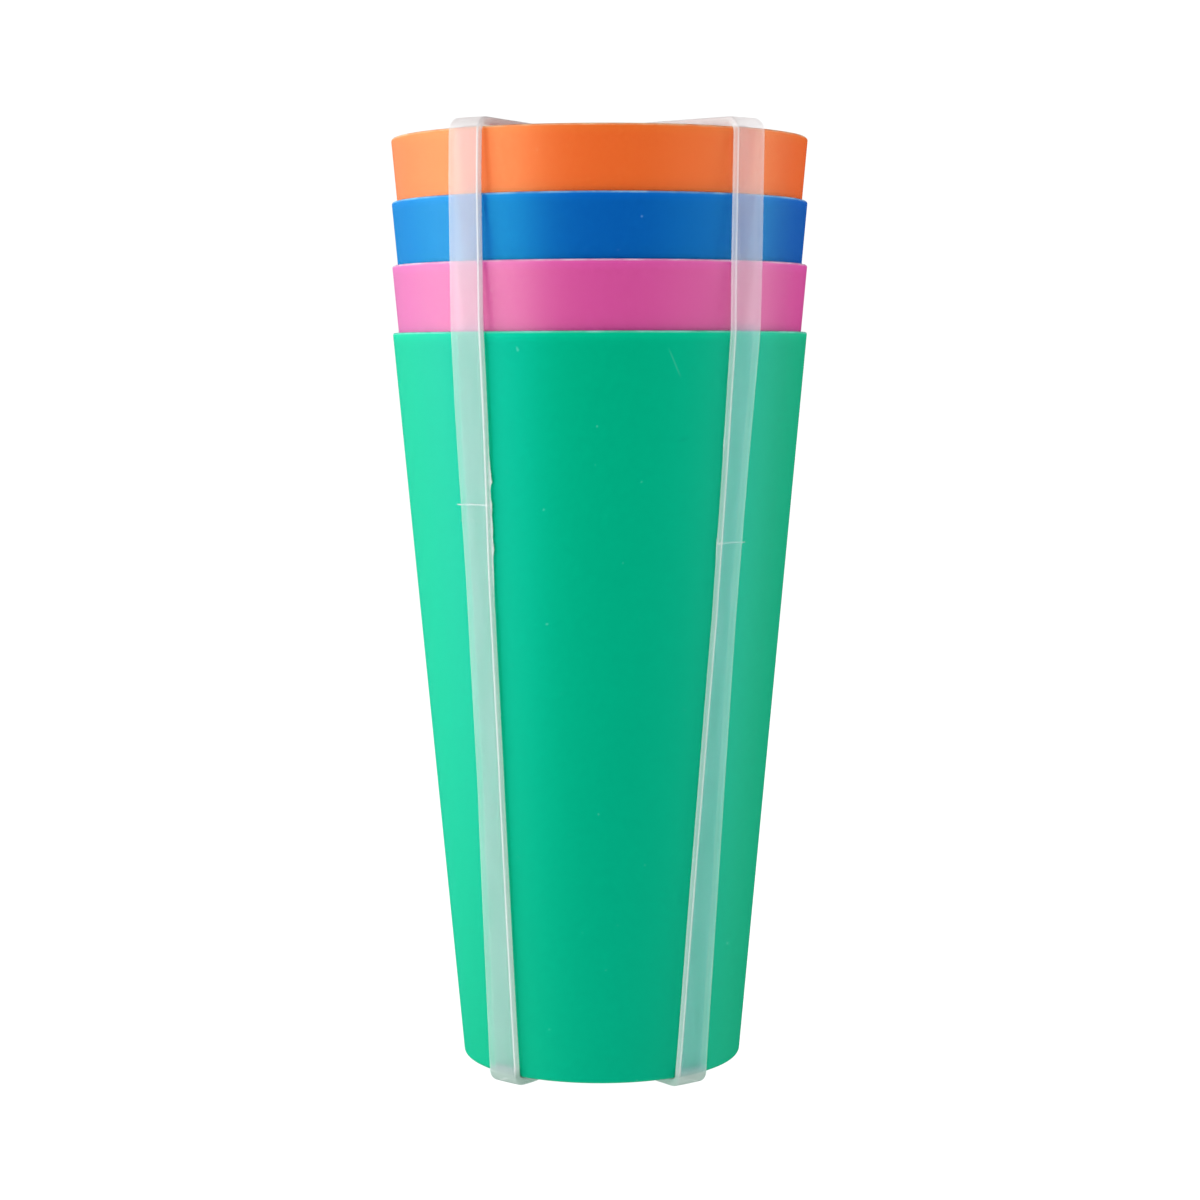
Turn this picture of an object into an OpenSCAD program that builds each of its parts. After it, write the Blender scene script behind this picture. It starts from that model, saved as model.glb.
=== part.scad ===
// Four tapered drinking tumblers, nested in one another and held together by two elastic bands.
// Z is up, the front is -Y, and the origin is at the middle of the underside. Millimetres.

/* [Cups] */
// Outside radius of every rim
rim_r = 42.8; // [41.5:0.1:46]
// Outside radius of the foot, before its corner is rounded
foot_r = 29; // [26:0.5:30]
// Height of one cup
cup_h = 151; // [130:1:160]
// Thickness of the side wall
wall = 1; // [0.7:0.05:1.05]
// Radius of the rounded corner round the foot
foot_round = 0.8; // [0.4:0.2:3]
// Radius of the fillet between the floor and the wall
floor_round = 3; // [1:0.5:5]
// Thickness of the floor
floor_t = 1.6; // [1.2:0.1:2.5]
// Depth of the recess under the floor
recess = 3; // [2.5:0.1:4]
// Inside radius of the foot ring round the recess
ring_r = 25; // [20:0.5:26]

/* [Stack] */
// Height of the pink cup over the green one
pink_step = 13.7; // [13:0.1:20]
// Height of the blue cup over the pink one
blue_step = 12.9; // [12.8:0.1:20]
// Height of the orange cup over the blue one
orange_step = 12.8; // [12.8:0.1:20]

/* [Bands] */
// Width of a band
band_w = 7.1; // [5:0.1:9]
// Thickness of a band
band_t = 1.6; // [1:0.1:1.8]
// Angle of each band from the front, one to the left and one to the right
band_angle = 40; // [30:1:45]

/* [Hidden] */

// Gap between a band and a cup, and between the two bands where they cross
fit = 0.1;
// Level stretch of a run past each edge of the band that it crosses
crossing_spare = 1;
// Inward slope of the recess wall
recess_slope = 1;
// Straight pieces in each arc of an outline
arc_steps = 8;
// Facets of a full turn
turn_facets = 96;

flank_angle = atan((rim_r - foot_r) / cup_h);
rim_round = wall / 2;
floor_z = recess + floor_t;

green_z = band_t + fit;
pink_z = green_z + pink_step;
blue_z = pink_z + blue_step;
orange_z = blue_z + orange_step;
green_rim_z = green_z + cup_h;
top_rim_z = orange_z + cup_h;

// Distance between the middles of the two bands where they cross
crossing = band_t + fit;
// Half of the level stretch of a run where the bands cross
crossing_half = band_w / 2 / tan(band_angle) + crossing_spare;

// Points along an arc about centre c, from angle a to angle b
function arc(c, r, a, b) =
    [for (i = [0:arc_steps]) let (t = a + (b - a) * i / arc_steps) c + r * [cos(t), sin(t)]];

// Radius at height z of the line that runs inside the flank at a depth
function flank_r(z, depth) = foot_r + z * tan(flank_angle) - depth / cos(flank_angle);

// Centre, at height z, of an arc that ends on the flank or on a line inside it
function flank_centre(z, depth) = [flank_r(z, depth), z];

// Half section of a cup, from the middle of the recess round the rim to the middle of the floor
function cup_profile() = concat(
    [[0, recess], [ring_r - recess_slope, recess], [ring_r, 0]],
    arc(flank_centre(foot_round, foot_round), foot_round, -90, -flank_angle),
    arc(flank_centre(cup_h - rim_round, rim_round), rim_round, -flank_angle, 180 - flank_angle),
    arc(flank_centre(floor_z + floor_round, wall + floor_round), floor_round, -flank_angle, -90),
    [[0, floor_z]]
);

// Right half of a loop's outline, lying out from the cups, from its foot crossing to its top crossing
function loop_half(out, foot_rise, top_rise) = concat(
    [[crossing_half, green_z - out + foot_rise], [ring_r, green_z - out]],
    arc(flank_centre(foot_round, foot_round) + [0, green_z], foot_round + out, -90, -flank_angle),
    [[rim_r + out, green_rim_z - out * tan(flank_angle / 2)]],
    arc([rim_r - rim_round, top_rim_z - rim_round], rim_round + out, 0, 90),
    [[crossing_half, top_rim_z + out + top_rise]]
);

// Whole outline of a loop
function loop_outline(out, foot_rise, top_rise) =
    let (half = loop_half(out, foot_rise, top_rise))
    concat(half, [for (i = [len(half) - 1:-1:0]) [-half[i].x, half[i].y]]);

// A cup standing at height z
module cup(z) {
    translate([0, 0, z])
        rotate_extrude($fn = turn_facets)
            polygon(cup_profile());
}

// A closed elastic loop round the whole stack, in the upright plane at an angle from X
module band(angle, foot_rise, top_rise) {
    rotate([90, 0, angle])
        linear_extrude(band_w, center = true)
            difference() {
                polygon(loop_outline(fit + band_t, foot_rise, top_rise));
                polygon(loop_outline(fit, foot_rise, top_rise));
            }
}

// Lowest cup, which the other three stand in
module cup_green() {
    color([0, 0.72, 0.55])
        cup(green_z);
}

module cup_pink() {
    color([0.87, 0.38, 0.66])
        cup(pink_z);
}

module cup_blue() {
    color([0, 0.42, 0.75])
        cup(blue_z);
}

// Innermost cup, whose mouth the bands cross
module cup_orange() {
    color([0.96, 0.48, 0.2])
        cup(orange_z);
}

// Inner band: under the other one at the top, and up in the recess at the foot
module band_left() {
    color([0.9, 0.92, 0.92, 0.6])
        band(90 - band_angle, crossing, -crossing / 2);
}

// Outer band: over the other one at the top, and flat on the ground at the foot
module band_right() {
    color([0.9, 0.92, 0.92, 0.6])
        band(band_angle - 90, 0, crossing / 2);
}

cup_green();
cup_pink();
cup_blue();
cup_orange();
band_left();
band_right();
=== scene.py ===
import math

import bmesh
import bpy
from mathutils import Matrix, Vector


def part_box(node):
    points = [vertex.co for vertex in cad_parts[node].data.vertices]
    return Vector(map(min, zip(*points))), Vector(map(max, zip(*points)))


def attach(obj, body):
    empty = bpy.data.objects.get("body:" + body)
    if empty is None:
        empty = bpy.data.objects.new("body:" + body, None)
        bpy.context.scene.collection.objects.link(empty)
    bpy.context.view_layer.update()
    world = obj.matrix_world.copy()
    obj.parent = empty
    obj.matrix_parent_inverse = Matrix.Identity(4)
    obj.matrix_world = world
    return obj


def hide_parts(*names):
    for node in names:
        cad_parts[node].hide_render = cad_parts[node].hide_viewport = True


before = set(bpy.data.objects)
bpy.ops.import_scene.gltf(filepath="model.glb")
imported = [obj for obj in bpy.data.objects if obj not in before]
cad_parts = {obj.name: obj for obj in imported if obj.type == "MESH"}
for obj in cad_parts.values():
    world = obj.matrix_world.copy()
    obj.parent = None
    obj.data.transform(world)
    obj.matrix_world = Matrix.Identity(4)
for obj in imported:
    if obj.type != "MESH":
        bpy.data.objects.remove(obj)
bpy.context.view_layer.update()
bpy.ops.object.select_all(action="DESELECT")

# ---------------------------------------------------------------- sizes, in metres
MM = 0.001

green_low, green_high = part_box("cup_green")
CUP_H = green_high.z - green_low.z
RIM_R = 42.8 * MM
FOOT_R = 29 * MM
WALL = 1.0 * MM
RIM_ROUND = 0.46 * WALL
FOOT_ROUND = 0.8 * MM
FLOOR_ROUND = 3.0 * MM
FLOOR_T = 1.6 * MM
# The recess under the floor, and the foot ring round it
RECESS = 3.0 * MM
RECESS_SLOPE = 1.0 * MM
RECESS_ROUND = 0.8 * MM
RING_R = 25 * MM
RING_ROUND = 0.6 * MM
# The mark of the moulding gate, in the middle of the recess
GATE_R = 2.2 * MM
GATE_DEPTH = 0.4 * MM
GATE_ROUND = 0.15 * MM
NIB_R = 0.8 * MM
TAPER = (RIM_R - FOOT_R) / CUP_H
FLANK_ANGLE = math.atan(TAPER)

FOOT_Z = green_low.z
GREEN_RIM_Z = green_high.z
TOP_RIM_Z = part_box("cup_orange")[1].z

BAND_W = 7.1 * MM
BAND_T = 1.6 * MM
BAND_EDGE = 0.32 * MM
# Distance between the middles of the two bands where they cross
CROSSING = 1.7 * MM
# Half of the level stretch of a run where they cross
CROSSING_HALF = 5.2 * MM
# How far the inside of a band stands off the cups at the flank and under the foot
FIT = 0.1 * MM
# How far it stands off the top rim, where a thick strip can't follow so thin an edge
RIM_ARCH = 0.3 * MM
TOP_HALF = RIM_R + 0.35 * MM
RIM_HALF = RIM_R + 2 * FIT
FOOT_HALF = FOOT_R + FIT
INSIDE_TOP = TOP_RIM_Z + RIM_ARCH
INSIDE_FOOT = FOOT_Z - FIT
# Radius of the cups that the strip hugs, halfway up
HUG_R = (RIM_R + FOOT_R) / 2

# Facets round a cup, and rows of faces across a band
ROUND = 192
BAND_ROWS = 6


def flank_r(height, depth=0.0):
    """Radius, at a height over a cup's foot, of the line that runs a depth inside its flank."""
    return FOOT_R + height * TAPER - depth / math.cos(FLANK_ANGLE)


def inside_x(z):
    """How far out the middle of a strip's inside lies on the flank of the lowest cup."""
    share = (z - INSIDE_FOOT) / (GREEN_RIM_Z - INSIDE_FOOT)
    return FOOT_HALF + share * (RIM_HALF - FOOT_HALF)


def hug(y):
    """Share by which the strip is drawn in, away from its middle line."""
    return math.sqrt(1 - (y / HUG_R) ** 2)


def value_at(outline, height):
    """Value at a height, between the points of an outline of heights and values."""
    for (low, a), (high, b) in zip(outline, outline[1:]):
        if low <= height <= high:
            return a + (b - a) * (height - low) / (high - low)
    return outline[-1][1]


# ---------------------------------------------------------------- modelling by hand
def start_edit():
    """Puts the new primitive's place into its mesh and opens it for editing."""
    bpy.ops.object.transform_apply(location=True, rotation=True, scale=True)
    bpy.ops.object.mode_set(mode="EDIT")


def end_edit(name):
    piece = bpy.context.object
    bpy.ops.object.mode_set(mode="OBJECT")
    piece.name = name
    piece.data.name = name
    return piece


def middle(item):
    if isinstance(item, bmesh.types.BMVert):
        return item.co
    if isinstance(item, bmesh.types.BMEdge):
        return (item.verts[0].co + item.verts[1].co) / 2
    return item.calc_center_median()


def pick(kind, wanted):
    """Selects the vertices, edges or faces whose middle is wanted, and nothing else."""
    bpy.ops.mesh.select_mode(type=kind)
    bpy.ops.mesh.select_all(action="DESELECT")
    mesh = bpy.context.object.data
    bm = bmesh.from_edit_mesh(mesh)
    items = {"VERT": bm.verts, "EDGE": bm.edges, "FACE": bm.faces}[kind]
    for item in items:
        if wanted(middle(item)):
            item.select_set(True)
    bm.select_flush_mode()
    bmesh.update_edit_mesh(mesh)


def near(a, b, slack=0.03 * MM):
    return abs(a - b) < slack


def ring_at(radius, z):
    """Wants the edges of the ring of that radius and height."""
    return lambda p: near(p.z, z) and near(math.hypot(p.x, p.y), radius)


def level_at(z):
    """Wants whatever has its middle at that height."""
    return lambda p: near(p.z, z)


def move(x=0.0, y=0.0, z=0.0):
    bpy.ops.transform.translate(value=(x, y, z))


def spread(x=1.0, y=1.0, z=1.0, centre=(0, 0, 0)):
    bpy.ops.transform.resize(value=(x, y, z), center_override=centre)


def extrude_face(dz):
    bpy.ops.mesh.extrude_region_move(TRANSFORM_OT_translate={"value": (0, 0, dz)})


def extrude_edges(y=0.0, z=0.0):
    bpy.ops.mesh.extrude_edges_move(TRANSFORM_OT_translate={"value": (0, y, z)})


def bevel(radius, steps, kind="EDGES"):
    bpy.ops.mesh.bevel(offset=radius, segments=steps, profile=0.5, affect=kind)


def face_outwards():
    bpy.ops.mesh.select_all(action="SELECT")
    bpy.ops.mesh.normals_make_consistent(inside=False)


def apply_modifiers(piece):
    bpy.context.view_layer.objects.active = piece
    for modifier in list(piece.modifiers):
        bpy.ops.object.modifier_apply(modifier=modifier.name)


def select_only(piece):
    bpy.ops.object.select_all(action="DESELECT")
    piece.select_set(True)
    bpy.context.view_layer.objects.active = piece


def smooth(piece, angle=35):
    select_only(piece)
    bpy.ops.object.shade_smooth_by_angle(angle=math.radians(angle))
    piece.select_set(False)


# ---------------------------------------------------------------- the cups
def turn_cup(name, foot_z):
    """A tumbler: a cone opened from its mouth, with a foot ring, a recess and every edge rounded."""
    rim_z = foot_z + CUP_H
    floor_z = foot_z + RECESS + FLOOR_T
    recess_z = foot_z + RECESS
    inside_r = flank_r(CUP_H, WALL)
    floor_r = flank_r(floor_z - foot_z, WALL)
    recess_r = RING_R - RECESS_SLOPE
    bpy.ops.mesh.primitive_cone_add(
        vertices=ROUND, radius1=FOOT_R, radius2=RIM_R, depth=CUP_H,
        location=(0, 0, foot_z + CUP_H / 2))
    start_edit()
    # the mouth and the inside
    pick("FACE", level_at(rim_z))
    bpy.ops.mesh.inset(thickness=RIM_R - inside_r)
    extrude_face(floor_z - rim_z)
    spread(floor_r / inside_r, floor_r / inside_r)
    # the foot ring and the recess, with the gate's mark in its middle
    pick("FACE", level_at(foot_z))
    bpy.ops.mesh.inset(thickness=FOOT_R - RING_R)
    extrude_face(RECESS)
    spread(recess_r / RING_R, recess_r / RING_R)
    bpy.ops.mesh.inset(thickness=recess_r - GATE_R)
    extrude_face(GATE_DEPTH)
    bpy.ops.mesh.inset(thickness=GATE_R - NIB_R)
    extrude_face(-GATE_DEPTH / 2)
    bpy.ops.mesh.poke()
    # rounded edges. An obtuse corner takes a smaller offset for the same radius
    obtuse = math.tan(math.radians(45) + FLANK_ANGLE / 2)
    for ring_r, ring_z, radius, steps in (
        (FOOT_R, foot_z, FOOT_ROUND / obtuse, 8),
        (floor_r, floor_z, FLOOR_ROUND / obtuse, 8),
        (RIM_R, rim_z, RIM_ROUND, 5),
        (inside_r, rim_z, RIM_ROUND, 5),
        (RING_R, foot_z, RING_ROUND, 4),
        (recess_r, recess_z, RECESS_ROUND, 4),
        (GATE_R, recess_z, GATE_ROUND, 2),
    ):
        pick("EDGE", ring_at(ring_r, ring_z))
        bevel(radius, steps)
    # the floor's face, closed by a fan
    pick("FACE", lambda p: near(p.z, floor_z) and math.hypot(p.x, p.y) < 1 * MM)
    bpy.ops.mesh.inset(thickness=floor_r / 2)
    bpy.ops.mesh.poke()
    cup = end_edit(name)
    smooth(cup)
    return cup


def copy_up(piece, name, rise):
    """A copy with a mesh of its own, standing higher."""
    select_only(piece)
    bpy.ops.object.duplicate()
    copy = bpy.context.object
    copy.name = name
    copy.data.name = name
    move(z=rise)
    bpy.ops.object.transform_apply(location=True, rotation=True, scale=True)
    copy.select_set(False)
    return copy


# ---------------------------------------------------------------- the bands
def weld_bead(z, radius, before, after, sag):
    """A thin bead across the outside of the strip, with its ends past the edges."""
    length = BAND_W + before + after
    centre_y = (after - before) / 2
    outside = inside_x(z) + BAND_T / math.cos(FLANK_ANGLE)
    last = 12
    # the bead thins out at its tips and swells next to them
    thickness = {0: 0.45, 1: 1.35, last - 1: 1.35, last: 0.45}
    bpy.ops.mesh.primitive_cylinder_add(
        vertices=10, radius=radius, depth=length, rotation=(math.radians(90), 0, 0),
        location=(outside, centre_y, z))
    start_edit()
    pick("EDGE", lambda p: near(p.y, centre_y) and math.hypot(p.x - outside, p.z - z) > radius / 2)
    bpy.ops.mesh.subdivide(number_cuts=last - 1)
    for station in range(last + 1):
        along = station / last
        y = centre_y + length * (along - 0.5)
        pick("VERT", lambda p: near(p.y, y))
        dx = outside * (hug(min(abs(y), BAND_W / 2)) - 1)
        dz = -sag * math.sin(math.pi * along) + sag / 3 * math.sin(9 * along)
        move(x=dx, z=dz)
        if station in thickness:
            share = thickness[station]
            spread(share, 1, share, centre=(outside + dx, y, z + dz))
    bpy.ops.mesh.select_all(action="SELECT")
    bpy.ops.transform.vertex_random(offset=0.03 * MM, seed=5)
    return end_edit("weld_bead")


def flash_fin(waist, side, outline):
    """A ragged fin left by the mould along one edge: pairs of height and reach, in millimetres."""
    depth = 1.0 * MM
    step = 0.55 * MM
    low, high = outline[0][0] * MM, outline[-1][0] * MM
    half_z = (low + high) / 2
    root = BAND_W / 2 * min(value_at(waist, z) for z, _ in outline) - 0.45 * MM
    cuts = round((high - low) / step)
    centre = (inside_x(half_z) * hug(root) + 0.3 * MM, side * root, half_z)
    bpy.ops.mesh.primitive_plane_add(size=1, rotation=(0, math.radians(90), 0), location=centre)
    start_edit()
    spread(1, depth, high - low, centre=centre)
    for z in (low, high):
        pick("VERT", level_at(z))
        move(x=(inside_x(z) - inside_x(half_z)) * hug(root))
    pick("EDGE", level_at(half_z))
    bpy.ops.mesh.subdivide(number_cuts=cuts)
    edge_y = side * root + side * depth / 2
    for station in range(cuts + 2):
        z = low + (high - low) * station / (cuts + 1)
        reach = BAND_W / 2 * value_at(waist, z / MM) + value_at(outline, z / MM) * MM
        pick("VERT", lambda p: near(p.z, z, 0.1 * MM) and near(p.y, edge_y))
        move(y=side * reach - edge_y)
    pick("VERT", lambda p: abs(p.y) > root + depth / 2)
    bpy.ops.transform.vertex_random(offset=0.05 * MM, seed=11)
    fin = end_edit("flash_fin")
    wall = fin.modifiers.new("wall", "SOLIDIFY")
    wall.thickness = 0.16 * MM
    wall.offset = 0
    apply_modifiers(fin)
    bpy.ops.object.mode_set(mode="EDIT")
    face_outwards()
    bpy.ops.object.mode_set(mode="OBJECT")
    return fin


def grow_together(piece, part):
    """Joins a part to a piece as one closed skin."""
    union = piece.modifiers.new("union", "BOOLEAN")
    union.operation = "UNION"
    union.solver = "EXACT"
    union.object = part
    apply_modifiers(piece)
    bpy.data.objects.remove(part)


def draw_outline(foot_rise, top_rise):
    """The inside of the loop as a thin outline in the plane of X and Z, open for editing."""
    bpy.ops.mesh.primitive_plane_add(size=1, rotation=(math.radians(90), 0, 0))
    start_edit()
    half_z = (INSIDE_TOP + INSIDE_FOOT) / 2
    spread(2 * TOP_HALF, 1, INSIDE_TOP - INSIDE_FOOT)
    move(z=half_z)
    # taper it to the foot, and keep only its outline
    pick("VERT", level_at(INSIDE_FOOT))
    spread(x=FOOT_HALF / TOP_HALF)
    bpy.ops.mesh.select_all(action="SELECT")
    bpy.ops.mesh.delete(type="ONLY_FACE")
    # bend the sides at the rim of the lowest cup, from where they go straight up
    pick("EDGE", lambda p: abs(p.x) > FOOT_R)
    bpy.ops.mesh.subdivide(number_cuts=1)
    pick("VERT", level_at(half_z))
    spread(x=2 * RIM_HALF / (TOP_HALF + FOOT_HALF))
    move(z=GREEN_RIM_Z - half_z)
    # the top run: level past the rims, then up or down to where the bands cross
    pick("EDGE", level_at(INSIDE_TOP))
    bpy.ops.mesh.subdivide(number_cuts=2)
    pick("VERT", lambda p: near(p.z, INSIDE_TOP) and abs(p.x) < TOP_HALF / 2)
    spread(x=CROSSING_HALF / (TOP_HALF / 3))
    move(z=top_rise)
    # the foot run: level past the foot ring, then up into the recess
    pick("EDGE", level_at(INSIDE_FOOT))
    bpy.ops.mesh.subdivide(number_cuts=4)
    pick("VERT", lambda p: near(p.z, INSIDE_FOOT) and near(abs(p.x), 0.6 * FOOT_HALF))
    spread(x=RING_R / (0.6 * FOOT_HALF))
    pick("VERT", lambda p: near(p.z, INSIDE_FOOT) and near(abs(p.x), 0.2 * FOOT_HALF))
    spread(x=CROSSING_HALF / (0.2 * FOOT_HALF))
    move(z=foot_rise)
    # round every bend
    for wanted, radius, steps in (
        (lambda p: near(p.z, INSIDE_TOP) and abs(p.x) > RIM_R, 1.4 * MM, 8),
        (lambda p: near(p.z, INSIDE_FOOT) and abs(p.x) > FOOT_R, 1.0 * MM, 8),
        (lambda p: near(p.z, GREEN_RIM_Z), 1.5 * MM, 4),
        (lambda p: near(abs(p.x), CROSSING_HALF), 3.0 * MM, 5),
        (lambda p: near(p.z, INSIDE_FOOT) and near(abs(p.x), RING_R), 1.0 * MM, 3),
    ):
        pick("VERT", wanted)
        bevel(radius, steps, "VERTICES")
    # short pieces along the sides, so that the strip can take its twist
    for out, low, high, cuts in (
        (FOOT_R, FOOT_Z + 20 * MM, GREEN_RIM_Z - 20 * MM, 48),
        (RIM_R, GREEN_RIM_Z + 10 * MM, TOP_RIM_Z - 10 * MM, 12),
    ):
        pick("EDGE", lambda p: abs(p.x) > out and low < p.z < high)
        bpy.ops.mesh.subdivide(number_cuts=cuts)


def draw_strip():
    """Draws the outline out to the strip's width, drawn in at both edges as it hugs the cups."""
    bpy.ops.mesh.select_all(action="SELECT")
    move(y=-BAND_W / 2)
    drawn = hug(BAND_W / 2)
    spread(x=drawn)
    for row in range(1, BAND_ROWS + 1):
        extrude_edges(y=BAND_W / BAND_ROWS)
        now = hug(BAND_W * (row / BAND_ROWS - 0.5))
        spread(x=now / drawn)
        drawn = now


def draw_thin(waist):
    """Narrows the front run where the strip is drawn out thin."""
    bm = bmesh.from_edit_mesh(bpy.context.object.data)
    heights = sorted({round(vert.co.z / MM, 2) for vert in bm.verts if vert.co.x > FOOT_R})
    for height in heights:
        if waist[0][0] < height < waist[-1][0]:
            pick("VERT", lambda p: p.x > FOOT_R and near(p.z, height * MM))
            spread(y=value_at(waist, height))


def mark_across(band, waist):
    """Notes how far each point lies across the strip, from -1 at one edge to 1 at the other."""
    across = band.data.attributes.new("across", "FLOAT", "POINT")
    values = []
    for vertex in band.data.vertices:
        height = vertex.co.z / MM
        in_waist = vertex.co.x > FOOT_R - 1 * MM and waist[0][0] < height < waist[-1][0]
        share = value_at(waist, height) if in_waist else 1
        values.append(vertex.co.y / (BAND_W / 2 * share))
    across.data.foreach_set("value", values)


def lay_band(name, foot_rise, top_rise, turn, twists, waist, welds, flashes):
    """A closed strip round the whole stack. It is shaped upright along X, with its front at +X."""
    draw_outline(foot_rise, top_rise)
    draw_strip()
    draw_thin(waist)
    face_outwards()
    band = end_edit(name)
    wall = band.modifiers.new("wall", "SOLIDIFY")
    wall.thickness = BAND_T
    wall.offset = 1
    wall.use_even_offset = True
    edge = band.modifiers.new("edge", "BEVEL")
    edge.width = BAND_EDGE
    edge.segments = 3
    edge.limit_method = "ANGLE"
    edge.angle_limit = math.radians(50)
    apply_modifiers(band)
    for weld in welds:
        grow_together(band, weld_bead(*weld))
    for flash in flashes:
        grow_together(band, flash_fin(waist, *flash))
    mark_across(band, waist)
    for angle, low, high in twists:
        lean = band.modifiers.new("twist", "SIMPLE_DEFORM")
        lean.deform_method = "TWIST"
        lean.deform_axis = "Z"
        lean.limits = (low, high)
        lean.angle = angle
        # a twist that starts higher up turns everything under it too
        turn -= angle * low / (high - low)
    apply_modifiers(band)
    select_only(band)
    band.rotation_euler.z = turn
    bpy.ops.object.transform_apply(location=True, rotation=True, scale=True)
    smooth(band)
    return band


# ---------------------------------------------------------------- materials
class Recipe:
    """A node material built up step by step on one Principled shader."""

    def __init__(self, name):
        self.material = bpy.data.materials.new(name)
        self.material.use_nodes = True
        self.tree = self.material.node_tree
        self.shader = self.tree.nodes["Principled BSDF"].inputs
        self.place = self.node("ShaderNodeTexCoord").outputs["Object"]

    def node(self, kind, **values):
        made = self.tree.nodes.new(kind)
        for key, value in values.items():
            setattr(made, key, value)
        return made

    def put(self, socket, value):
        """Gives a socket a number, a colour or the output of another node."""
        if isinstance(value, bpy.types.NodeSocket):
            self.tree.links.new(value, socket)
        else:
            socket.default_value = value

    def stretched(self, scale):
        mapping = self.node("ShaderNodeMapping")
        self.put(mapping.inputs["Vector"], self.place)
        mapping.inputs["Scale"].default_value = scale
        return mapping.outputs["Vector"]

    def noise(self, scale, detail=2.0, roughness=0.5, vector=None):
        made = self.node("ShaderNodeTexNoise")
        self.put(made.inputs["Vector"], vector or self.place)
        made.inputs["Scale"].default_value = scale
        made.inputs["Detail"].default_value = detail
        made.inputs["Roughness"].default_value = roughness
        return made.outputs["Fac"]

    def ranged(self, value, low, high, to_low=0.0, to_high=1.0):
        made = self.node("ShaderNodeMapRange")
        self.put(made.inputs["Value"], value)
        made.inputs["From Min"].default_value = low
        made.inputs["From Max"].default_value = high
        made.inputs["To Min"].default_value = to_low
        made.inputs["To Max"].default_value = to_high
        return made.outputs["Result"]

    def math(self, operation, a, b=0.0):
        made = self.node("ShaderNodeMath", operation=operation)
        self.put(made.inputs[0], a)
        self.put(made.inputs[1], b)
        return made.outputs["Value"]

    def add(self, a, b):
        return self.math("ADD", a, b)

    def times(self, a, b):
        return self.math("MULTIPLY", a, b)

    def mixed(self, share, a, b):
        """Mixes two colours, each a triple or the output of another node."""
        made = self.node("ShaderNodeMix", data_type="RGBA")
        self.put(made.inputs["Factor"], share)
        for key, colour in (("A", a), ("B", b)):
            is_socket = isinstance(colour, bpy.types.NodeSocket)
            self.put(made.inputs[key], colour if is_socket else (*colour, 1))
        return made.outputs["Result"]

    def bumped(self, height, strength, distance):
        made = self.node("ShaderNodeBump")
        self.put(made.inputs["Height"], height)
        made.inputs["Strength"].default_value = strength
        made.inputs["Distance"].default_value = distance
        return made.outputs["Normal"]

    def parts(self, vector):
        split = self.node("ShaderNodeSeparateXYZ")
        self.put(split.inputs["Vector"], vector)
        return split.outputs

    def height(self):
        return self.parts(self.place)["Z"]

    def front(self):
        """1 on the front half, 0 on the back half."""
        return self.math("LESS_THAN", self.parts(self.place)["Y"], 0.0)

    def dash(self, x, z, lean, length, width):
        """A short straight mark on the front, seen along Y, with soft ends."""
        mapping = self.node("ShaderNodeMapping", vector_type="TEXTURE")
        self.put(mapping.inputs["Vector"], self.place)
        mapping.inputs["Location"].default_value = (x, 0, z)
        mapping.inputs["Rotation"].default_value = (0, lean, 0)
        turned = self.parts(mapping.outputs["Vector"])
        side = self.ranged(self.math("ABSOLUTE", turned["X"]), width / 4, width / 2, 1, 0)
        ends = self.ranged(self.math("ABSOLUTE", turned["Z"]), length / 4, length / 2, 1, 0)
        return self.times(self.times(side, ends), self.front())


def satin_plastic(name, rim_z, plain, sheen, shine, bend, pale, marks=()):
    """Moulded plastic with a fine grain, faint flow marks, dust, painted light under the rim and a
    painted highlight on its scuffed edge.
    """
    made = Recipe(name)
    deep = [channel * 0.985 for channel in plain]
    bright = [min(channel * 1.7, 0.9) for channel in plain]
    grain = made.noise(1400.0, 3.0, 0.65)
    flow = made.noise(60.0, 2.0, 0.5, made.stretched((1.0, 1.0, 0.25)))
    body = made.mixed(made.ranged(flow, 0.35, 0.65), deep, plain)
    speckle = made.ranged(made.noise(900.0, 2.0, 0.6), 0.35, 0.70)
    body = made.mixed(made.times(speckle, 0.09), body, bright)
    dust = made.ranged(made.noise(800.0, 1.0, 0.4), 0.79, 0.82)
    body = made.mixed(made.times(dust, 0.18), body, pale)
    # painted light: the thin wall under the rim is lightened by height, as if light gathered in it
    painted_rim_glow = made.ranged(made.height(), rim_z - 2.2 * MM, rim_z - 0.6 * MM)
    body = made.mixed(made.times(painted_rim_glow, 0.28), body, bright)
    # painted highlight on the rounded edge of the rim, broken up by real scuffs
    edge = made.ranged(made.height(), rim_z - 0.50 * MM, rim_z - 0.16 * MM)
    scuff_and_rim_highlight = made.ranged(made.noise(260.0, 3.0, 0.6), 0.40, 0.62, 0.4, 1.0)
    body = made.mixed(made.times(edge, scuff_and_rim_highlight), body, pale)
    for tone, strength, *place in marks:
        body = made.mixed(made.times(made.dash(*place), strength), body, tone)
    made.put(made.shader["Base Color"], body)
    made.put(made.shader["Roughness"], made.ranged(grain, 0.3, 0.7, 0.40, 0.50))
    made.put(made.shader["Normal"], made.bumped(grain, 0.12, 0.05 * MM))
    made.shader["IOR"].default_value = bend
    made.shader["Specular IOR Level"].default_value = shine
    made.shader["Specular Tint"].default_value = (*sheen, 1)
    return made.material


# Tones of the silicone: along its edges, over the top rim (a painted reflection of the orange cup),
# under the foot (painted shade), where it is cloudy and where it is welded
EDGE_TONE = (0.95, 0.97, 0.97)
PAINTED_REFLECTION_TONE = (0.79, 0.71, 0.71)
PAINTED_SHADE_TONE = (0.40, 0.55, 0.48)
CLOUD_TONE = (0.62, 0.78, 0.80)
SCAR_TONE = (0.93, 0.95, 0.95)
CLOUD_SWING = 0.035
FULLEST = 0.92


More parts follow.
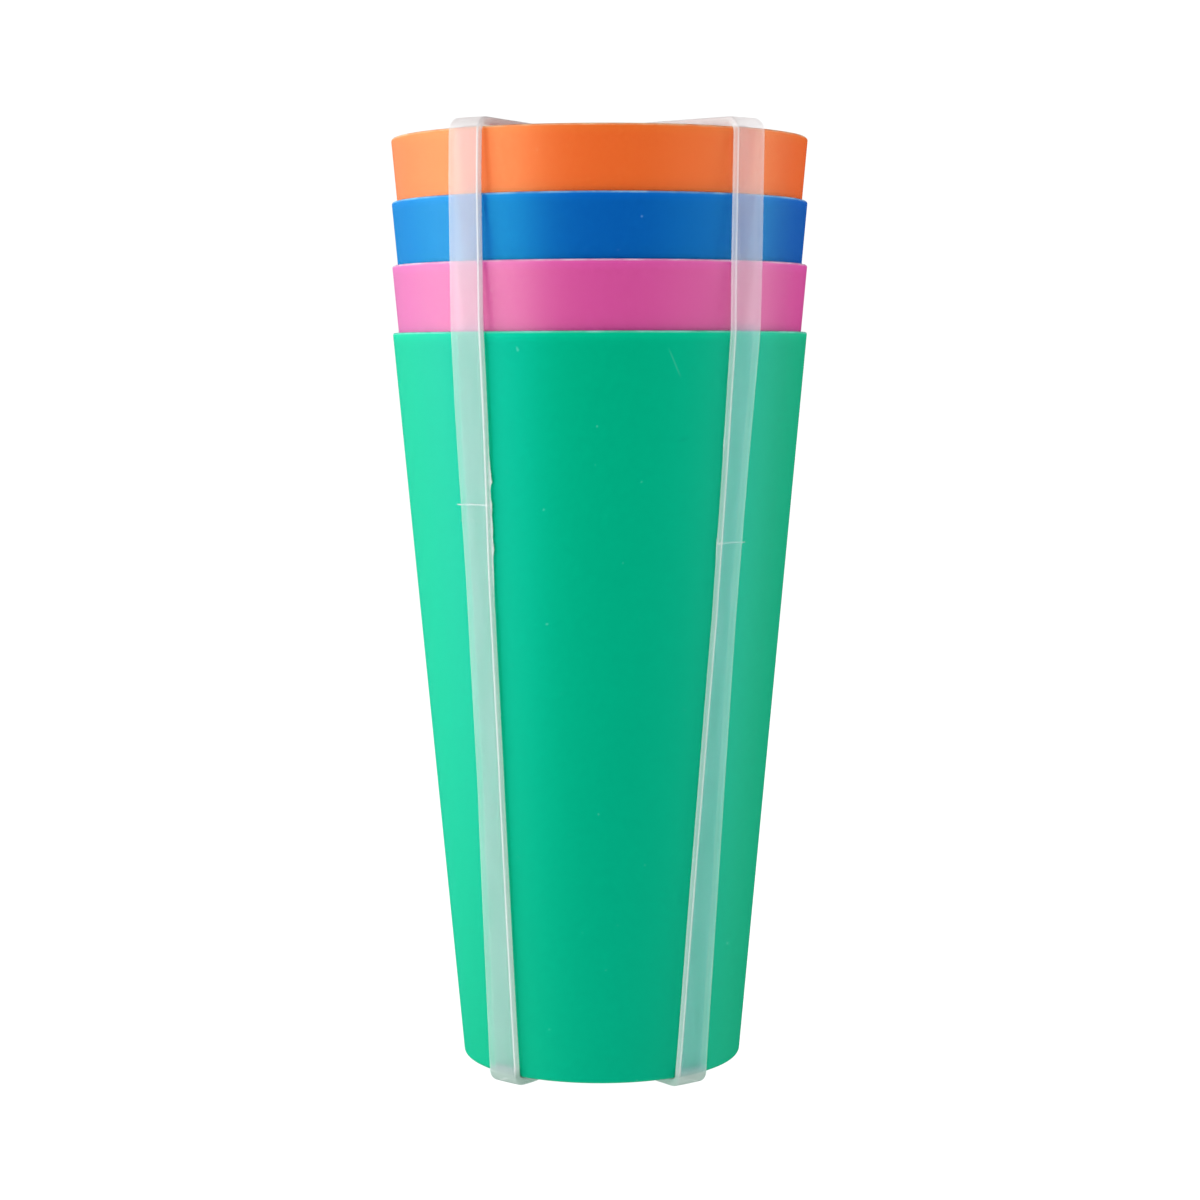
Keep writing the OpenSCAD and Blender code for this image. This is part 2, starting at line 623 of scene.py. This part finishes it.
def weld_line(made, streak, z, strength):
    """A fine line across the front run, wandering a little along its height."""
    wander = made.ranged(streak, 0.3, 0.7, z - 0.07 * MM, z + 0.07 * MM)
    away = made.math("ABSOLUTE", made.math("SUBTRACT", made.height(), wander))
    line = made.ranged(away, 0.05 * MM, 0.16 * MM, strength, 0.0)
    return made.times(line, made.front())


def milky_silicone(name, body, near_edge, near_side, ribs, upper, low_tone, high_tone, lines):
    """Translucent strip: cloudy in its body, denser along its edges, with drawn streaks, and painted
    colour, reflection and shade in its tone.
    """
    made = Recipe(name)
    across = made.node("ShaderNodeAttribute", attribute_name="across").outputs["Fac"]
    off_middle = made.math("ABSOLUTE", across)
    cloud = made.noise(420.0, 3.0, 0.55, made.stretched((1.0, 1.0, 0.12)))
    streak = made.noise(700.0, 2.0, 0.6, made.stretched((1.0, 1.0, 0.05)))
    # how dense it is: in its body, its ribs, its near edge, its fins, its upper part and its foot
    density = made.ranged(cloud, 0.3, 0.7, body - CLOUD_SWING, body + CLOUD_SWING)
    density = made.add(density, made.ranged(off_middle, 0.62, 0.80, 0.0, ribs))
    towards = made.times(across, near_side)
    density = made.add(density, made.ranged(towards, 0.94, 0.975, 0.0, near_edge))
    density = made.add(density, made.ranged(towards, 1.01, 1.03, 0.0, -0.30))
    density = made.add(density, made.ranged(made.height(), 148 * MM, 166 * MM, 0.0, upper))
    density = made.add(density, made.ranged(made.height(), 2.4 * MM, 4.2 * MM, 0.5, 0.0))
    scar = None
    for z, strength in lines:
        line = weld_line(made, streak, z, strength)
        density = made.add(density, line)
        scar = made.math("MAXIMUM", scar, line) if scar else line
    # its tone, which changes at the rim of the lowest cup; over that cup it is painted with the
    # green it picks up from it
    over_green = made.ranged(made.height(), GREEN_RIM_Z - 1 * MM, GREEN_RIM_Z + 2 * MM)
    tone = made.mixed(over_green, low_tone, high_tone)
    tone = made.mixed(made.ranged(off_middle, 0.88, 0.95), tone, EDGE_TONE)
    # painted reflection of the orange cup where the strip runs over the top rim
    over = made.ranged(made.height(), TOP_RIM_Z - 0.3 * MM, TOP_RIM_Z + 0.6 * MM)
    tone = made.mixed(over, tone, PAINTED_REFLECTION_TONE)
    # painted shade: a darker grey-green under the foot, where the cup and the floor shade the strip
    under = made.ranged(made.height(), 2.2 * MM, 4.2 * MM, 1.0, 0.0)
    tone = made.mixed(under, tone, PAINTED_SHADE_TONE)
    tone = made.mixed(made.times(cloud, 0.12), tone, CLOUD_TONE)
    tone = made.mixed(made.times(scar, 2.5), tone, SCAR_TONE)
    made.put(made.shader["Base Color"], tone)
    made.put(made.shader["Alpha"], made.math("MINIMUM", density, FULLEST))
    made.put(made.shader["Roughness"], made.ranged(streak, 0.3, 0.7, 0.34, 0.46))
    made.put(made.shader["Normal"], made.bumped(cloud, 0.10, 0.05 * MM))
    made.shader["IOR"].default_value = 1.41
    return made.material


def pale_backdrop(name):
    """A sweep that glows evenly, so that it stays white without outshining a clear strip."""
    made = Recipe(name)
    mottle = made.noise(3.0, 2.0, 0.5)
    made.put(made.shader["Base Color"], made.mixed(mottle, (0.14, 0.14, 0.14), (0.16, 0.16, 0.16)))
    made.shader["Roughness"].default_value = 0.9
    made.shader["Emission Color"].default_value = (1, 1, 1, 1)
    made.shader["Emission Strength"].default_value = 1.0
    return made.material


# ---------------------------------------------------------------- camera, light and floor
EYE_OUT = 565 * MM
EYE_LEFT = -0.14 * MM
EYE_OVER_FOOT = 145.5 * MM
EYE_DOWN = math.radians(5.07)
EYE_LEAN = math.radians(-0.155)
LENS = 81.4
FILM = 36

# Name, azimuth in degrees from the front to the right, and power of each upright panel
SIDE_PANELS = (("left_front", -52, 5.4), ("left", -86, 5.6), ("right_front", 50, 1.1),
               ("right", 88, 3.6))
# The ones further back leave no white glare along the edges
BACK_PANELS = (("left_back", -114, 5.0), ("left_far_back", -140, 2.4), ("right_back", 116, 3.4))
# Cool glints from behind keep the left edges crisp
GLINTS = (("left_glint", -112, 2.9), ("left_far_glint", -142, 1.3))
GLINT_COLOUR = (0.12, 1.0, 0.85)
AIM = (0, 0, 0.1)


def set_camera():
    camera = bpy.data.objects.new("camera", bpy.data.cameras.new("camera"))
    bpy.context.scene.collection.objects.link(camera)
    camera.data.lens = LENS
    camera.data.sensor_width = FILM
    camera.data.clip_start = 0.01
    camera.data.clip_end = 50
    camera.location = (EYE_LEFT, -EYE_OUT, FOOT_Z + EYE_OVER_FOOT)
    camera.rotation_euler = (math.radians(90) - EYE_DOWN, 0, 0)
    camera.rotation_euler.rotate_axis("Z", EYE_LEAN)
    bpy.context.scene.camera = camera


def add_panel(name, azimuth, power, out=1.0, z=0.18, width=0.5, height=1.0):
    """A soft panel aimed at the stack."""
    lamp = bpy.data.objects.new(name, bpy.data.lights.new(name, "AREA"))
    bpy.context.scene.collection.objects.link(lamp)
    lamp.data.shape = "RECTANGLE"
    lamp.data.size = width
    lamp.data.size_y = height
    lamp.data.energy = power
    turn = math.radians(azimuth)
    lamp.location = (math.sin(turn) * out, -math.cos(turn) * out, z)
    sight = type(lamp.location)(AIM) - lamp.location
    lamp.rotation_mode = "QUATERNION"
    lamp.rotation_quaternion = sight.to_track_quat("-Z", "Y")
    return lamp


def set_light():
    for panel in SIDE_PANELS:
        add_panel(*panel)
    for panel in BACK_PANELS:
        add_panel(*panel).visible_glossy = False
    for panel in GLINTS:
        glint = add_panel(*panel)
        glint.data.color = GLINT_COLOUR
        glint.visible_diffuse = False
    add_panel("front_above", 0, 2.3, out=0.9, z=0.9, width=1.0, height=0.6)
    add_panel("above", 0, 1.6, out=0.01, z=1.1, width=1.0, height=1.0)


def set_surround():
    """A pale surround that is seen past the floor's edge but lights nothing."""
    world = bpy.data.worlds.new("studio")
    bpy.context.scene.world = world
    world.use_nodes = True
    world.node_tree.nodes["Background"].inputs["Color"].default_value = (1, 1, 1, 1)
    world.cycles_visibility.diffuse = False
    world.cycles_visibility.glossy = False
    world.cycles_visibility.transmission = False
    world.cycles_visibility.scatter = False


def set_finish():
    bpy.context.scene.view_settings.view_transform = "Standard"
    bpy.context.scene.cycles.use_denoising = True
    bpy.context.scene.cycles.denoising_input_passes = "RGB"


def lay_floor():
    """A pale sweep: a floor that curves up into a wall far behind."""
    half = 4
    bpy.ops.mesh.primitive_plane_add(size=2 * half)
    start_edit()
    pick("EDGE", lambda p: near(p.y, half))
    extrude_edges(z=half)
    pick("EDGE", lambda p: near(p.y, half) and near(p.z, 0))
    bevel(1.5, 24)
    floor = end_edit("floor")
    smooth(floor, 60)
    floor.data.materials.append(pale_backdrop("pale_backdrop"))
    floor.visible_glossy = False


# ---------------------------------------------------------------- the model
set_camera()
set_light()
set_surround()
set_finish()
lay_floor()

# Old scratches on the green cup: tone, strength, place across and up, lean, length and width
PALE_SCRATCH = ((0.35, 0.80, 0.68), 0.10,
                14.4 * MM, 146.5 * MM, math.radians(-23), 6.5 * MM, 0.30 * MM)
DARK_SCUFF = ((0.0, 0.10, 0.06), 0.35,
              16.2 * MM, 131.6 * MM, math.radians(70), 2.6 * MM, 0.35 * MM)
# Colour, tint and strength of the gloss, index of refraction, and the paler colour of dust and of
# the painted rim highlight
CUPS = {
    "green": {"plain": (0.0, 0.450, 0.222), "sheen": (0.0, 0.70, 1.0), "shine": 0.90,
              "bend": 1.46, "pale": (0.30, 0.85, 0.70), "marks": (PALE_SCRATCH, DARK_SCUFF)},
    "pink": {"plain": (0.71, 0.044, 0.327), "sheen": (0.9, 1.0, 0.82), "shine": 1.0,
             "bend": 1.56, "pale": (0.95, 0.65, 0.82)},
    "blue": {"plain": (0.0, 0.077, 0.465), "sheen": (0.05, 1.0, 1.0), "shine": 1.0,
             "bend": 1.60, "pale": (0.35, 0.62, 0.95)},
    "orange": {"plain": (0.92, 0.110, 0.005), "sheen": (1.0, 1.0, 0.50), "shine": 1.0,
               "bend": 1.56, "pale": (1.0, 0.60, 0.35)},
}

first = turn_cup("tumbler_green", FOOT_Z)
for colour, look in CUPS.items():
    node = "cup_" + colour
    low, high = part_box(node)
    cup = first if colour == "green" else copy_up(first, "tumbler_" + colour, low.z - FOOT_Z)
    cup.data.materials.clear()
    cup.data.materials.append(satin_plastic(colour + "_plastic", high.z, **look))
    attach(cup, node)
    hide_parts(node)

# Twists: angle, and where it starts and ends as shares of the height.
# Waist: heights in millimetres and the share of the width that is left there.
# Welds: height, radius of the bead, its reach past each edge, and its sag.
# Flashes: which edge, and heights and reaches in millimetres.
BANDS = {
    "left": {
        "foot_rise": CROSSING,
        "top_rise": -1.05 * MM,
        "turn": math.radians(-131.5),
        "twists": ((math.radians(5.0), 0.0, 1.0),
                   (math.radians(1.35), 0.02, 0.33),
                   (math.radians(-1.05), 0.78, 0.93)),
        "waist": ((5, 1.0), (20, 0.95), (40, 0.90), (60, 0.84), (105, 0.84), (110, 0.87),
                  (121, 0.93), (135, 1.0)),
        "welds": ((118.8 * MM, 0.12 * MM, 0.65 * MM, 0.35 * MM, 0.16 * MM),
                  (115.6 * MM, 0.05 * MM, 0.0, 0.1 * MM, 0.05 * MM)),
        "flashes": ((1, ((100, 0), (104, 0.2), (108.5, 0.25), (110, 0.55), (112, 0.3), (114, 0.4),
                         (117, 0.3), (119, 0.4), (120, 0.2), (121.5, 0.05), (122.8, 0.25),
                         (123.3, 0.75), (124, 0.45), (125, 0.4), (128, 0.12), (131, 0))),),
    },
    "right": {
        "foot_rise": 0.0,
        "top_rise": 0.60 * MM,
        "turn": math.radians(-52.9),
        "twists": ((math.radians(4.5), 0.0, 1.0),),
        "waist": ((3, 1.0), (10, 0.96), (38, 0.90), (65, 0.82), (80, 0.78), (96, 0.73),
                  (115, 0.77), (127, 0.80), (140, 0.88), (152, 0.94), (165, 1.0)),
        "welds": ((111.1 * MM, 0.10 * MM, 0.5 * MM, 0.0, 0.20 * MM),),
        "flashes": ((-1, ((126, 0), (128.5, 0.12), (130.5, 0.3), (132.5, 0.15), (135, 0))),
                    (-1, ((104, 0), (107, 0.1), (110.5, 0.3), (111.5, 0.3), (114, 0.08),
                          (117, 0)))),
    },
}
# How dense each strip is in its body, and how much more at its near edge, on its ribs and in its
# upper part; its tone over the green cup, painted with the colour it picks up from it, and higher up
MILKINESS = {
    "left": {"body": 0.215, "near_edge": 0.64, "near_side": 1.0, "ribs": 0.02, "upper": 0.06,
             "low_tone": (0.79, 0.87, 0.93), "high_tone": (0.91, 0.88, 0.89)},
    "right": {"body": 0.188, "near_edge": 0.42, "near_side": -1.0, "ribs": 0.045, "upper": 0.01,
              "low_tone": (0.47, 0.94, 0.97), "high_tone": (0.90, 0.82, 0.86)},
}
# Strength of the line that a weld leaves, when its bead has the radius beside it
LINE_STRENGTH = 0.24
LINE_BEAD_R = 0.11 * MM

for side, shape in BANDS.items():
    node = "band_" + side
    band = lay_band("strip_" + side, **shape)
    lines = [(z, (radius / LINE_BEAD_R) ** 2 * LINE_STRENGTH) for z, radius, *_ in shape["welds"]]
    band.data.materials.append(
        milky_silicone("milky_silicone_" + side, lines=lines, **MILKINESS[side]))
    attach(band, node)
    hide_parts(node)
